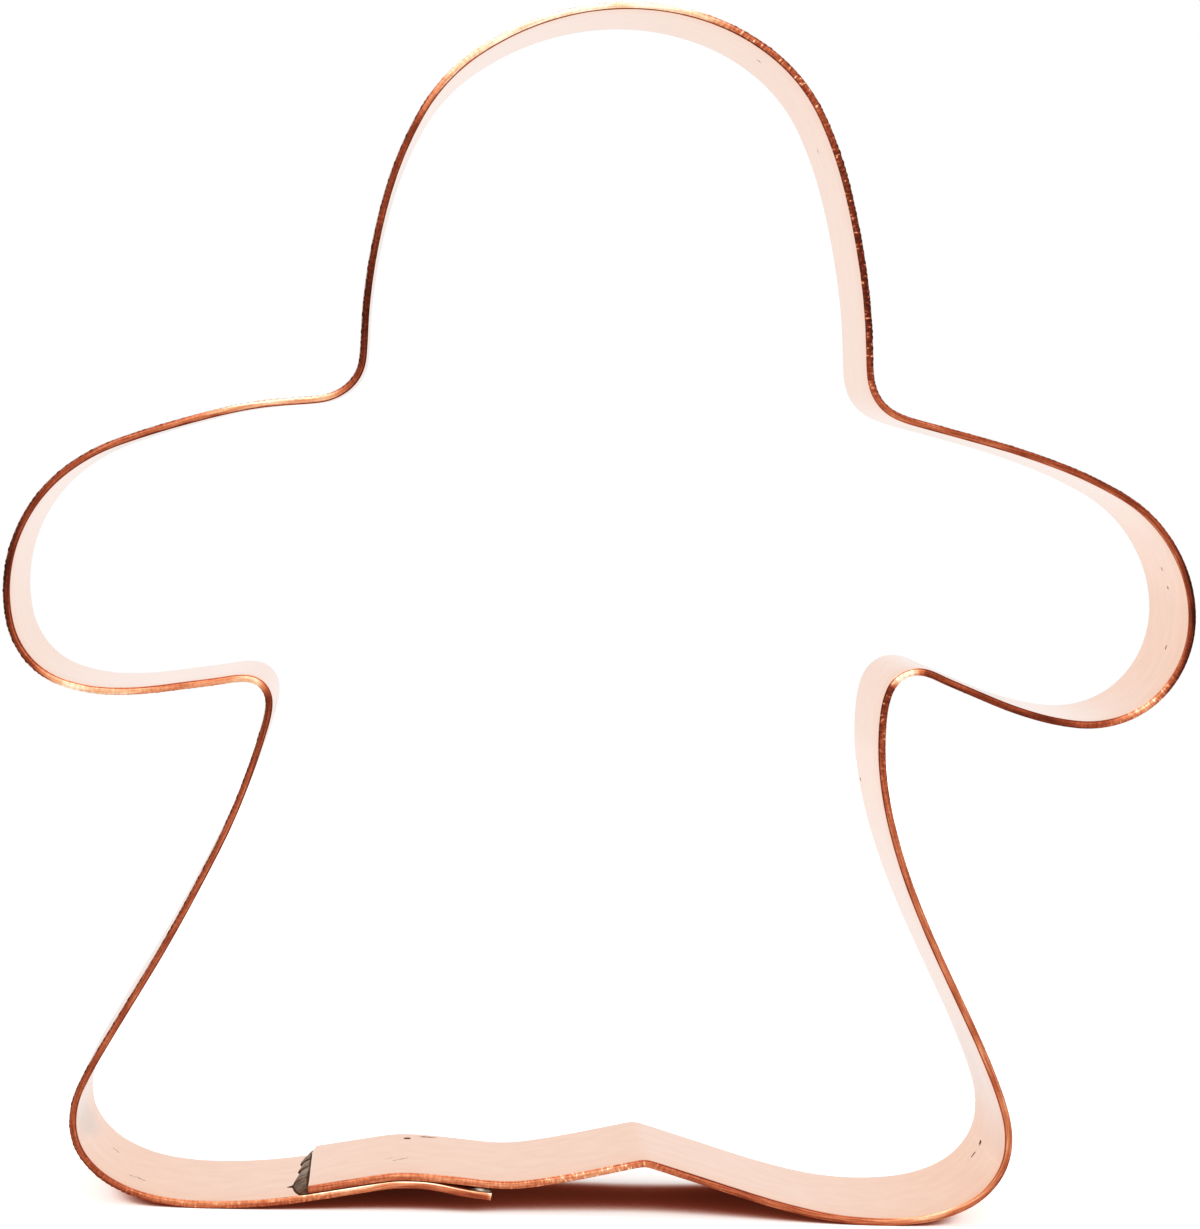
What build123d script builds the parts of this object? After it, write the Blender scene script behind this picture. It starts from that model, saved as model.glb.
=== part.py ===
from build123d import *

import os
from math import atan2, cos, degrees, radians, sin, sqrt, tan

# Cookie cutter: one copper strip bent into a gingerbread figure, its ends lapped and soldered at the hem.
# The figure stands on the floor Z = 0 and is seen along +Y: X runs to the right and Z up.
# The strip's depth runs along Y, half to each side of Y = 0. All lengths are in millimetres.

# The strip
strip_thickness = 0.8
strip_depth = 22.0  # from one cutting rim to the other

# The whole figure, over the strip's outside faces
figure_width = 127.0  # across both hands
figure_height = 129.5  # from the feet to the crown

# The figure is bent by hand, so its two sides differ. Reaches are from X = 0 and heights from the floor,
# both to the middle of the strip's thickness. A bend is as large as its reach from the corner it rounds.
crown_place = 1.4
shoulder_height = 86.5
left_neck_reach = 26.4
right_neck_reach = 27.4
left_neck_bend = 4.5
right_neck_bend = 5.0
left_arm_base_height = 54.9
right_arm_base_height = 54.7
left_underarm_height = 56.75
right_underarm_height = 59.8
left_underarm_bend = 2.4
right_underarm_bend = 3.7
left_waist_reach = 35.1
right_waist_reach = 30.25
left_foot_reach = 54.5
right_foot_reach = 45.7
right_foot_width = 13.9
left_foot_height = 15.9
right_foot_height = 15.1

# The notch between the feet
notch_place = 6.6
notch_height = 6.12
notch_radius = 1.0
notch_left_slope = 13.0  # degrees
notch_right_slope = 16.0  # degrees

# The lap: the inner end lies on the outer layer, which runs on past the crest as a free tail
lap_crest_place = -18.8
lap_crest_height = 4.0
lap_crest_radius = 15.0
lap_slope = 10.5  # degrees
lap_length = 10.5  # from the crest to the inner end, across
tail_length = 9.05  # from the crest to the outer end, across
tail_drop = 1.05
corner_clip_width = 0.5  # snipped off the inner end's far corner, along the strip
corner_clip_depth = 3.0  # and along the depth

# The solder
film_thickness = 0.1  # between the two layers
film_setback = 0.6  # behind each rim
seam_bead_reach = 1.7  # of the widest lobe, out from the inner end
tail_bead_reach = 2.9
tail_bead_height = 0.22
tail_bead_inset = 0.3  # from the outer end
solder_overlap = 0.2  # of a raw bead into the strip, before it is cut to the strip's face

# Stations along the middle of the strip, in the order of bending: clockwise as seen, from the outer end.
# Each row has a share across its box, a share up or down it, and a heading in degrees, 0 right and 90 up.
tail_shares = [(1.0, 1.0, 173.5), (0.67, 0.67, 171.5), (0.31, 0.12, 172.0)]
left_foot_shares = [(0.0, 0.0, 180.0), (0.69, 0.130, 152.0), (1.0, 0.53, 92.0), (0.82, 1.0, 61.0)]
left_side_shares = [(0.422, 0.611, 63.5), (0.128, 0.295, 71.0), (0.025, 0.135, 75.0)]
left_underarm_shares = [(0.0, 1.0, 92.0), (1.0, 0.0, 180.0)]
left_arm_shares = [
    (0.23, 0.04, -171.0),
    (0.60, 0.0, 180.0),
    (0.925, 0.113, 128.0),
    (1.0, 0.339, 90.0),
]
left_shoulder_shares = [(0.814, 0.737, 39.0), (0.478, 0.897, 18.0), (0.115, 0.987, 6.0)]
left_neck_shares = [(1.0, 0.0, 8.0), (0.0, 1.0, 87.0)]
left_head_shares = [(0.007, 0.159, 86.0), (0.072, 0.455, 76.0), (0.396, 0.854, 36.0), (1.0, 1.0, 0.0)]
right_head_shares = [(0.426, 0.870, -38.0), (0.120, 0.509, -74.0), (0.004, 0.054, -87.0)]
right_neck_shares = [(0.01, 0.96, -84.0), (0.31, 0.29, -44.0), (1.0, -0.03, -13.0)]
right_arm_shares = [
    (0.555, 0.863, -19.0),
    (0.910, 0.632, -54.0),
    (1.0, 0.355, -90.0),
    (0.758, 0.013, -164.0),
    (0.516, 0.019, 167.0),
    (0.215, 0.126, 159.0),
]
right_underarm_shares = [(1.0, 0.0, 179.0), (0.19, 0.535, -112.0), (0.0, 1.75, -91.0)]
right_side_shares = [(0.081, 0.361, -75.0), (0.466, 0.695, -63.0)]
right_foot_shares = [(0.885, 1.0, -67.0), (1.0, 0.555, -93.0), (0.698, 0.135, -151.0), (0.0, 0.0, 180.0)]
right_hem_shares = [(0.452, 0.42, 163.5)]
left_hem_shares = [(0.429, 0.939, -170.0), (0.587, 0.817, 180.0), (0.819, 0.933, 175.5)]

# Sections of the two beads. Each row has a share of the strip's depth from the near rim, a share of the
# bead's reach and a share of its height.
seam_bead_shares = [
    (0.0, 0.05, 0.50),
    (0.03, 0.30, 0.66),
    (0.14, 0.75, 0.80),
    (0.27, 1.0, 0.86),
    (0.40, 0.88, 0.86),
    (0.50, 0.66, 0.80),
    (0.57, 0.78, 0.86),
    (0.70, 0.60, 0.84),
    (0.80, 0.72, 0.86),
    (0.94, 0.42, 0.82),
    (0.99, 0.30, 0.70),
]
tail_bead_shares = [
    (0.03, 0.30, 0.40),
    (0.08, 1.0, 0.90),
    (0.20, 0.70, 0.80),
    (0.35, 0.90, 1.0),
    (0.50, 0.50, 0.60),
    (0.68, 0.80, 0.90),
    (0.85, 0.60, 0.70),
    (0.97, 0.20, 0.40),
]
bead_bulge_share = 0.58  # how far out a bead's slope bulges, where one half is straight

# Lines and steps worked out from the sizes
half_thickness = strip_thickness / 2
half_depth = strip_depth / 2
floor_line = half_thickness
crown_line = figure_height - half_thickness
hand_line = figure_width / 2 - half_thickness
layer_step = strip_thickness + film_thickness  # from the middle of one layer to the middle of the other
straight_turn = 0.001  # degrees: a stretch that turns less is a straight line


def direction(heading):
    """Unit step along a heading."""
    return cos(radians(heading)), sin(radians(heading))


def sideways(station, distance):
    """The station moved to the left of its heading."""
    x, z, heading = station
    across, up = direction(heading)
    return x - distance * up, z + distance * across, heading


def in_box(shares, corner, opposite):
    """Stations of a table of shares, in the box from one corner to the opposite one."""
    (x0, z0), (x1, z1) = corner, opposite
    return [(x0 + (x1 - x0) * across, z0 + (z1 - z0) * up, heading) for across, up, heading in shares]


def on_circle(top, radius, turn):
    """Station on the circle under its topmost point, with the heading turned from straight left."""
    x, z = top
    return x - radius * sin(radians(turn)), z - radius * (1 - cos(radians(turn))), 180.0 + turn


def with_joints(stations):
    """The stations, with the joint of two tangent arcs added between each pair."""
    line = [stations[0]]
    for (x0, z0, heading0), (x1, z1, heading1) in zip(stations, stations[1:]):
        (across0, up0), (across1, up1) = direction(heading0), direction(heading1)
        gap = (x1 - x0) ** 2 + (z1 - z0) ** 2
        along = (x1 - x0) * (across0 + across1) + (z1 - z0) * (up0 + up1)
        turned = 1 - across0 * across1 - up0 * up1
        # with one reach on both tangents, both arcs touch the line between the reaches' ends
        reach = gap / (along + sqrt(along**2 + 2 * turned * gap))
        start_x, start_z = x0 + reach * across0, z0 + reach * up0
        end_x, end_z = x1 - reach * across1, z1 - reach * up1
        joint_heading = degrees(atan2(end_z - start_z, end_x - start_x))
        line.append(((start_x + end_x) / 2, (start_z + end_z) / 2, joint_heading))
        line.append((x1, z1, heading1))
    return line


def bend(line):
    """Draw the tangent arcs along a line of stations and joints."""
    for (x0, z0, heading), (x1, z1, _) in zip(line, line[1:]):
        chord = degrees(atan2(z1 - z0, x1 - x0))
        turn = (chord - heading + 180) % 360 - 180
        if abs(turn) < straight_turn:
            Line((x0, z0), (x1, z1))
        else:
            TangentArc((x0, z0), (x1, z1), tangent=direction(heading))


def ribbon(stations, half_width):
    """Draw the outline of a ribbon whose middle follows the stations."""
    line = with_joints(stations)
    right_side = [sideways(spot, -half_width) for spot in line]
    left_side = [sideways(spot, half_width) for spot in line]
    bend(right_side)
    Line(right_side[-1][:2], left_side[-1][:2])
    bend(left_side)
    Line(left_side[0][:2], right_side[0][:2])


def bead_sections(corner, outwards, reach, height, shares):
    """Sections of a lumpy run of solder along the depth: upright at the corner, with a bulging slope."""
    across, up = outwards
    sections = []
    for depth_share, reach_share, height_share in shares:
        toe = reach * reach_share
        top = height * height_share
        place = (corner[0], (depth_share - 0.5) * strip_depth, corner[1])
        with BuildSketch(Plane(place, x_dir=(across, 0, up), z_dir=(0, 1, 0))) as section:
            with BuildLine():
                Polyline((0, top), (0, -solder_overlap), (toe, -solder_overlap), (toe, 0))
                ThreePointArc((toe, 0), (toe * bead_bulge_share, top * bead_bulge_share), (0, top))
            make_face()
        sections.append(section.sketch)
    return sections


# The lap's stations: on the inner layer from the crest to the inner end, and the same on the outer layer
crest = on_circle((lap_crest_place, lap_crest_height), lap_crest_radius, 0.0)
slope_start = on_circle((lap_crest_place, lap_crest_height), lap_crest_radius, lap_slope)
inner_end_x = lap_crest_place - lap_length
inner_end_z = slope_start[1] + (inner_end_x - slope_start[0]) * tan(radians(lap_slope))
inner_end = (inner_end_x, inner_end_z, slope_start[2])
lap_inside = [crest, slope_start, inner_end]
lap_outside = [sideways(station, layer_step) for station in lap_inside]

# The outer layer runs on down its slope, and one arc turns it level at the floor, where the left foot starts
slope_end = lap_outside[-1]
slope_foot_x = slope_end[0] - (slope_end[1] - floor_line) / tan(radians(lap_slope))
left_foot_inside = (2 * slope_foot_x - slope_end[0], floor_line)

# Corners of the boxes
outer_crest = lap_outside[0][:2]
crown = (crown_place, crown_line)
left_waist = (-left_waist_reach, left_underarm_height)
right_waist = (right_waist_reach, right_underarm_height)
left_neck = (-left_neck_reach, shoulder_height)
right_neck = (right_neck_reach, shoulder_height)
left_foot_top = (-left_foot_reach, floor_line + left_foot_height)
right_foot_top = (right_foot_reach, floor_line + right_foot_height)
right_foot_inside = (right_foot_reach - right_foot_width, floor_line)
notch_top = (notch_place, notch_height)
notch_floor = (notch_place, floor_line)

tail = in_box(tail_shares, outer_crest, (outer_crest[0] + tail_length, outer_crest[1] - tail_drop))
left_underarm_end = (left_waist[0] - left_underarm_bend, left_waist[1] - left_underarm_bend)
right_underarm_end = (right_waist[0] + right_underarm_bend, right_waist[1] - right_underarm_bend)
left_neck_end = (left_neck[0] - left_neck_bend, left_neck[1] + left_neck_bend)
right_neck_end = (right_neck[0] + right_neck_bend, right_neck[1] + right_neck_bend)
strip_stations = [
    *tail,
    *lap_outside,
    *in_box(left_foot_shares, left_foot_inside, left_foot_top),
    *in_box(left_side_shares, left_waist, left_foot_top),
    *in_box(left_underarm_shares, left_waist, left_underarm_end),
    *in_box(left_arm_shares, (-left_waist_reach, left_arm_base_height), (-hand_line, shoulder_height)),
    *in_box(left_shoulder_shares, (left_neck_end[0], left_arm_base_height), (-hand_line, shoulder_height)),
    *in_box(left_neck_shares, left_neck, left_neck_end),
    *in_box(left_head_shares, (left_neck[0], left_neck_end[1]), crown),
    *in_box(right_head_shares, (right_neck[0], right_neck_end[1]), crown),
    *in_box(right_neck_shares, right_neck, right_neck_end),
    *in_box(right_arm_shares, (right_waist_reach, right_arm_base_height), (hand_line, shoulder_height)),
    *in_box(right_underarm_shares, right_waist, right_underarm_end),
    *in_box(right_side_shares, right_waist, right_foot_top),
    *in_box(right_foot_shares, right_foot_inside, right_foot_top),
    *in_box(right_hem_shares, notch_floor, (right_foot_inside[0], notch_height)),
    on_circle(notch_top, notch_radius, -notch_right_slope),
    on_circle(notch_top, notch_radius, notch_left_slope),
    *in_box(left_hem_shares, notch_floor, (lap_crest_place, lap_crest_height)),
    *lap_inside,
]

os.makedirs("parts", exist_ok=True)

# The strip, bent along its stations, with the far corner of its inner end snipped off
with BuildPart() as cutter_band:
    with BuildSketch(Plane.XZ):
        with BuildLine():
            ribbon(strip_stations, half_thickness)
        make_face()
    extrude(amount=half_depth, both=True)
    along_x, along_z = direction(lap_slope)
    end_corner = (inner_end[0], half_depth, inner_end[1])
    with BuildSketch(Plane(end_corner, x_dir=(along_x, 0, along_z), z_dir=(-along_z, 0, along_x))):
        with BuildLine():
            Polyline(
                (-corner_clip_width, -2 * corner_clip_depth),
                (2 * corner_clip_width, corner_clip_depth),
                (-corner_clip_width, corner_clip_depth),
                close=True,
            )
        make_face()
    extrude(amount=layer_step / 2, both=True, mode=Mode.SUBTRACT)
cutter_band.part.label = "cutter_band"
export_step(cutter_band.part, "parts/cutter_band.step")

# The film of solder between the two layers, cut to the faces that it joins
with BuildPart() as lap_solder:
    with BuildSketch(Plane.XZ):
        with BuildLine():
            ribbon([sideways(station, layer_step / 2) for station in lap_inside], film_thickness)
        make_face()
    extrude(amount=half_depth - film_setback, both=True)
    add(cutter_band.part, mode=Mode.SUBTRACT)
lap_solder.part.label = "lap_solder"
export_step(lap_solder.part, "parts/lap_solder.step")

# The lumpy bead in the step at the inner end
with BuildPart() as seam_bead:
    step_corner = sideways(lap_outside[-1], -half_thickness)
    step_direction = direction(step_corner[2])
    sections = bead_sections(step_corner, step_direction, seam_bead_reach, layer_step, seam_bead_shares)
    loft(sections, ruled=True)
    add(cutter_band.part, mode=Mode.SUBTRACT)
seam_bead.part.label = "seam_bead"
export_step(seam_bead.part, "parts/seam_bead.step")

# The flat lumps of spilt solder on the tail, in the narrow gap under the inner layer
with BuildPart() as tail_bead:
    tail_top = sideways(tail[0], -half_thickness)
    tail_direction = direction(tail_top[2])
    inset_x, inset_z = (tail_bead_inset * step for step in tail_direction)
    corner = (tail_top[0] + inset_x, tail_top[1] + inset_z)
    sections = bead_sections(corner, tail_direction, tail_bead_reach, tail_bead_height, tail_bead_shares)
    loft(sections, ruled=True)
    add(cutter_band.part, mode=Mode.SUBTRACT)
tail_bead.part.label = "tail_bead"
export_step(tail_bead.part, "parts/tail_bead.step")
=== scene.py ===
"""Looks of a copper cookie cutter: one strip of sheet copper bent to a figure with a wide head, two arms
and a skirt, lapped at the hem and soldered there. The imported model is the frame, in metres, +Z up."""
import math

import bmesh
import bpy
import numpy as np
from mathutils import Matrix, Vector, noise


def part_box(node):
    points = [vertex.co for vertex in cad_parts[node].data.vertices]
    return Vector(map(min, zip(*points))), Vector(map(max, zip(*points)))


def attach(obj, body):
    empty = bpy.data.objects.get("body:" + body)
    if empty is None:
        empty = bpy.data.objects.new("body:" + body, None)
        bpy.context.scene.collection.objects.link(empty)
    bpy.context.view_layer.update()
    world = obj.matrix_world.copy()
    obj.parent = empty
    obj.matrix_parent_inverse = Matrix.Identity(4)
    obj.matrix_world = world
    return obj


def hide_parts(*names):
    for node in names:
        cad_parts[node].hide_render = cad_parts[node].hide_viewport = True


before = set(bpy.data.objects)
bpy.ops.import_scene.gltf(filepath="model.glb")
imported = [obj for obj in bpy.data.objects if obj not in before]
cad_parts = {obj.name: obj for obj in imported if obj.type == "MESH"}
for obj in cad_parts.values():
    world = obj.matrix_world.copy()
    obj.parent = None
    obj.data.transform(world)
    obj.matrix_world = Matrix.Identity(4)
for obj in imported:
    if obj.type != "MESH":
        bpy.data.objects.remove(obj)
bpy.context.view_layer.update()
mm = 0.001

# The camera, as the photograph's frame and perspective give it
photo_height_px = 1229
focal_length_px = 3837.9
camera_place = (-21.63 * mm, -417.35 * mm, 86.53 * mm)
camera_turn_deg = 2.993
camera_tilt_deg = 3.060
camera_roll_deg = 2.094

# The light: a wide softbox over the cutter, and how strongly the white world lights the object. The softbox
# has a power of pi times its area, so it adds as much to a mirror image as the world does
softbox_place = (0.0, -0.35, 1.0)
softbox_width = 3.0
softbox_power = 28.3
world_fill = 0.12

# The floor: its width, how far from the cutter it loses its open white to a painted shadow, how much painted
# light is added to its openness in front of the cutter and painted shade behind it, and the painted shadow's
# colours from closed over to open, deep red-brown for light bounced off the copper
floor_width = 1.1
floor_shade_reach = 16 * mm
floor_shade_samples = 48
floor_front_light = 0.06
floor_back_light = -0.04
floor_painted_shadow_colours = (
    (0.0, "#451A10"), (0.08, "#6A2C1D"), (0.13, "#8A4433"),
    (0.18, "#C69C90"), (0.23, "#F3E8E5"), (0.29, "#FFFFFF"),
)
# Its own glow, which keeps it white: how strong it is near the cutter and far from it, and how much of it a
# mirror shows
floor_glow_distances = (0.1, 0.45)
floor_glow_strengths = (0.55, 0.85)
floor_mirror_share = 0.4

# The strip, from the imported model
strip_low, strip_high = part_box("cutter_band")
near_rim = strip_low.y
far_rim = strip_high.y
sheet_thickness = 0.8 * mm
half_sheet = sheet_thickness / 2

# The sheared rims: the near one's inner edge is a little rolled over and its outer edge keeps a torn burr,
# and the far one's edges are rubbed round
roll_width = 0.03 * mm
roll_depth = 0.1 * mm
burr_edge = 0.06 * mm
burr_band = 0.2 * mm
burr_depth = 0.4 * mm
burr_pitch = 0.6 * mm
burr_reach = 0.2 * mm
burr_seed = 7
far_edge = 0.12 * mm
# How much faster the rim's worn and painted colours end on the far rim's rounded edges than on the near
# rim's
far_rim_tightness = 3.5

# The mesh of the strip: stations along it, the steps and the smoothing of its line, and rows on its faces
station_count = 4200
line_step = 0.1 * mm
line_smoothing = 0.4 * mm
face_row_shares = (0.97, 0.72, 0.1, -0.5)
outer_row_shares = (-0.8, 0.1, 0.72)

# The inner end: how much of it is snipped off its far corner, over what depth and length, and how far its
# inner edge is rounded
clip_length = 0.5 * mm
clip_height = 3.0 * mm
clip_fade = 3.0 * mm
end_roll = 0.16 * mm

# How bright the rim is, worn and painted with light, by share of the strip's length from its outer end: 0
# oxidised and in painted dark reflection, 1 polished with a painted cream highlight. The bright start at the
# outer end is a painted highlight too
rim_tone_shares = (
    (0.000, 0.80), (0.001, 0.50), (0.030, 0.72), (0.045, 0.57), (0.065, 0.68), (0.082, 0.44), (0.100, 0.50),
    (0.175, 0.48), (0.195, 0.30), (0.199, 0.88), (0.215, 0.65), (0.239, 0.95), (0.248, 0.42), (0.268, 0.16),
    (0.298, 0.55), (0.318, 0.57), (0.337, 0.86), (0.349, 0.80), (0.357, 0.35), (0.370, 0.12), (0.392, 0.35),
    (0.410, 0.38), (0.423, 0.86), (0.440, 0.97), (0.474, 0.96), (0.490, 0.56), (0.514, 0.43), (0.526, 0.27),
    (0.557, 0.20), (0.574, 0.53), (0.594, 0.49), (0.630, 0.38), (0.641, 0.46), (0.658, 0.19), (0.672, 0.33),
    (0.682, 0.80), (0.694, 0.40), (0.702, 0.27), (0.727, 0.36), (0.731, 0.34), (0.734, 1.00),
    (0.7375, 1.00), (0.740, 0.30), (0.752, 0.42), (0.765, 0.57), (0.800, 0.60), (0.838, 0.62),
    (0.849, 0.58), (0.867, 0.77), (0.882, 0.57), (0.918, 0.50), (0.926, 0.60), (0.936, 0.76), (0.955, 0.66),
    (0.977, 0.66), (1.000, 0.54),
)
# How strongly the burr on the outer edge shows, by share of the strip's length
burr_shares = (
    (0.00, 0.2), (0.09, 0.5), (0.10, 1.0), (0.19, 1.0), (0.20, 0.3), (0.24, 0.4), (0.25, 1.0), (0.30, 1.0),
    (0.31, 0.9), (0.41, 1.0), (0.42, 0.7), (0.48, 0.7), (0.49, 0.9), (0.57, 0.9), (0.58, 0.6), (0.63, 0.5),
    (0.65, 0.15), (0.70, 0.1), (0.75, 0.2), (0.83, 0.1), (0.90, 0.1), (1.00, 0.0),
)
# How much brighter the rim's outer edge is than its inner one, by share of the strip's length: worn, and
# painted lighter or darker as light falls on the tilted edge
rim_lean_shares = (
    (0.00, -0.10), (0.08, -0.12), (0.10, -0.04), (0.19, -0.06), (0.20, 0.0), (0.24, 0.0), (0.25, -0.15),
    (0.28, -0.18), (0.30, 0.05), (0.32, 0.18), (0.35, 0.15), (0.36, -0.05), (0.42, 0.0), (0.49, 0.0),
    (0.51, -0.08), (0.57, -0.10), (0.60, -0.08), (0.64, -0.16), (0.65, -0.26), (0.67, -0.24), (0.69, -0.05),
    (0.76, -0.04), (0.84, -0.04), (0.85, -0.16), (0.88, -0.12), (0.90, 0.0), (1.00, -0.06),
)
# How dark the painted shade line beside the rim's rolled inner edge is, by share of the strip's length.
# Below 0 it is a painted highlight
inner_line_shares = (
    (0.00, -0.6), (0.02, -0.6), (0.03, -0.5), (0.04, -0.4), (0.05, 0.2), (0.09, 0.4), (0.19, 0.5),
    (0.20, 0.7), (0.25, 0.6), (0.26, 0.3), (0.30, 0.6), (0.36, 0.9), (0.38, 0.3), (0.41, 0.5), (0.42, 1.0),
    (0.49, 1.0), (0.51, 0.4), (0.57, 0.3), (0.60, 0.3), (0.66, 0.0), (0.70, 0.5), (0.75, 0.8), (0.85, 0.4),
    (0.86, 0.0), (0.88, 0.4), (0.92, 1.0), (0.93, 0.5), (0.96, 0.3), (1.00, 0.2),
)
# How strongly the shear's marks, and with them their painted glints, run across the rim, by share of the
# strip's length
shear_mark_shares = (
    (0.00, 0.15), (0.025, 0.15), (0.035, 0.62), (0.085, 0.62), (0.10, 0.25), (0.19, 0.3), (0.20, 0.2),
    (0.24, 0.5), (0.26, 0.3), (0.35, 0.2), (0.36, 0.6), (0.42, 0.4), (0.48, 0.3), (0.49, 1.0), (0.565, 1.0),
    (0.58, 0.2), (0.66, 0.2), (0.675, 0.7), (0.682, 1.0), (0.69, 0.6), (0.70, 0.2), (0.73, 0.3),
    (0.742, 1.0), (0.755, 0.8), (0.765, 0.3), (0.80, 0.15), (0.90, 0.15), (0.92, 0.4), (0.93, 0.9),
    (0.945, 0.8), (0.96, 0.6), (1.00, 0.4),
)

# How burnt the soldered faces are inside the lap, by share of the strip's length
tail_stain_shares = ((0.0, 1.0), (0.037, 1.0), (0.039, 0.0), (1.0, 0.0))
lap_stain_shares = ((0.0, 0.0), (0.961, 0.0), (0.963, 1.0), (1.0, 1.0))

# Small marks on the inner face, in mm and degrees: how far along the strip and in depth they are, how long
# and wide, how they are turned, and how dark. The last is a thin painted shade line where the inner end's
# rounding begins
face_marks_and_shade_line = (
    (38.3, -5.0, 0.7, 0.16, 25, 0.9), (39.2, -5.2, 0.5, 0.12, 15, 0.8), (42.0, 2.5, 0.6, 0.14, 20, 0.9),
    (252.0, -2.0, 0.3, 0.3, 0, 0.8), (264.0, 1.0, 0.35, 0.25, 0, 0.8),
    (331.0, -0.6, 0.3, 0.3, 0, 0.9), (333.2, -1.0, 0.3, 0.3, 0, 0.9), (340.0, -1.8, 0.3, 0.3, 0, 0.9),
    (388.5, 9.0, 0.7, 0.2, 100, 0.8), (431.4, 3.0, 0.35, 0.7, 10, 1.0), (433.0, 2.9, 0.5, 0.3, 0, 1.0),
    (498.6, 8.4, 0.5, 0.6, 0, 1.0), (496.4, 9.8, 1.2, 0.35, -5, 0.8), (499.3, -3.4, 1.4, 0.14, -40, 0.7),
    (500.6, -2.6, 0.7, 0.12, -35, 0.5), (509.35, 0.0, 0.05, 10.6, 0, 0.3),
)
# Broad grey painted reflections of the floor's shade on the inner face, given in the same way
face_painted_reflections = ((47.5, -1.0, 2.5, 9.0, 12, 0.5), (421.0, 3.0, 5.0, 7.0, -35, 0.25))

# The copper's colours: the rim's from oxidised and painted dark to polished and painted cream highlight, the
# clean faces', and those of what is on them, with the painted reflections of the floor's shade
rim_colours = (
    (0.0, "#2A100A"), (0.2, "#5A2416"), (0.4, "#8A3E26"), (0.52, "#AC573A"), (0.6, "#BF6C48"),
    (0.7, "#D8865E"), (0.8, "#E6A880"), (0.9, "#F0CBA4"), (1.0, "#FFECD2"),
)
face_colours = ((0.3, "#F0B896"), (0.5, "#F3BC9A"), (0.7, "#F5C09F"))
painted_reflection_colour = "#BAA08F"
mark_and_shade_colour = "#5E3828"
flux_colour = "#C46E4A"
face_roughness = 0.12
rim_roughness = 0.4
# How far from the rim its worn and painted colours are full, and where they have ended
rim_fade_mm = (0.03, 0.45)

# How much the shear's marks and their painted glints change the rim's tone. A painted glint starts, and is
# full, where the noise and the marks are this strong
shear_mark_change = 0.11
glint_change = 0.4
glint_noise = (0.64, 0.74)
glint_marks = (0.5, 0.9)
# How much the rub streaks change it, and how much where the shear's marks are strong
rub_streak_change = 0.12
rub_streak_change_on_marks = 0.05
# The painted shade line beside the inner edge, a painted highlight where it is bright, with the rim's inner
# edge at
# -1 and its outer edge at 1: the line's place, where it is full and where it ends beside that, and how much
# it changes the tone
inner_line_place = -0.8
inner_line_reach = (0.04, 0.22)
inner_line_change = 0.7
# How much of the tone is left on the burr's tips, darkened by oxide and painted shade
burr_tip_shade = 0.35

# The copper's patterns, in waves per mm along the strip and across it. The lines that rolling leaves are a
# few hundredths of a mm apart, too fine to show, so they are drawn a sixth of a mm apart
shear_marks_per_mm = (3.2, 1.4)
rub_streaks_per_mm = (0.3, 5.5)
mottle_per_mm = (0.3, 0.45)
roll_lines_per_mm = (0.15, 6.0)
roll_line_relief = 0.02 * mm
roll_line_strength = 0.02
ragged_edges_per_mm = 2.5
ragged_edges_mm = 0.5
# The shares of its size inside which a mark is full and outside which it ends
spot_fade_shares = (0.5, 1.1)

# Nearly all of a noise texture lies between these, round its middle
noise_low = 0.3
noise_middle = 0.5
noise_high = 0.7

# The solder: the run in the step at the inner end, and the spilt lumps on the tail. By share of the depth,
# from the near rim to the far one: how far a run reaches, how high it is, where its lumps fold together and
# how burnt it is. Its drawn-out tip has its place and width as shares, and then its reach and height
seam_reach = 2.3 * mm
seam_reach_shares = (
    (0.0, 0.30), (0.03, 0.50), (0.08, 0.64), (0.14, 0.75), (0.20, 0.81), (0.31, 0.80), (0.38, 0.73),
    (0.45, 0.65), (0.51, 0.57), (0.55, 0.54), (0.565, 0.66), (0.59, 0.65), (0.65, 0.57), (0.71, 0.51),
    (0.735, 0.51), (0.765, 0.60), (0.79, 0.58), (0.85, 0.46), (0.90, 0.37), (0.945, 0.28), (1.0, 0.08),
)
seam_top_shares = (
    (0.0, 0.34), (0.03, 0.62), (0.14, 0.86), (0.27, 0.94), (0.42, 0.90), (0.54, 0.72), (0.60, 0.88),
    (0.72, 0.74), (0.80, 0.88), (0.87, 0.74), (0.94, 0.78), (1.0, 0.5),
)
seam_fold_shares = (0.54, 0.725, 0.88)
seam_burn_shares = ((0.0, 0.5), (0.15, 0.3), (0.3, 0.35), (0.42, 0.0), (0.8, 0.1), (1.0, 0.25))
seam_tip = (0.243, 0.018, 0.7 * mm, 0.2 * mm)
tail_inset = 0.1 * mm
tail_reach = 2.9 * mm
tail_height = 0.33 * mm
tail_reach_shares = (
    (0.0, 0.55), (0.01, 0.7), (0.03, 0.5), (0.06, 0.38), (0.10, 0.9), (0.20, 0.7), (0.35, 0.9), (0.50, 0.5),
    (0.68, 0.8), (0.85, 0.6), (1.0, 0.1),
)
tail_top_shares = ((0.0, 0.8), (0.01, 1.0), (0.10, 0.8), (0.35, 0.7), (0.50, 0.4), (0.68, 0.6), (1.0, 0.2))
tail_fold_shares = (0.06, 0.5)
tail_burn_shares = ((0.0, 0.0), (1.0, 0.3))
tail_tip = (0.012, 0.01, 1.1 * mm, 0.2 * mm)
bead_column_count = 180
bead_row_count = 19
bead_sink = 0.03 * mm
bead_wrinkle = 0.07 * mm
bead_wrinkle_size = 0.55 * mm
fold_reach_share = 0.012
fold_slant_share = 0.02
fold_depth_share = 0.35

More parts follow.
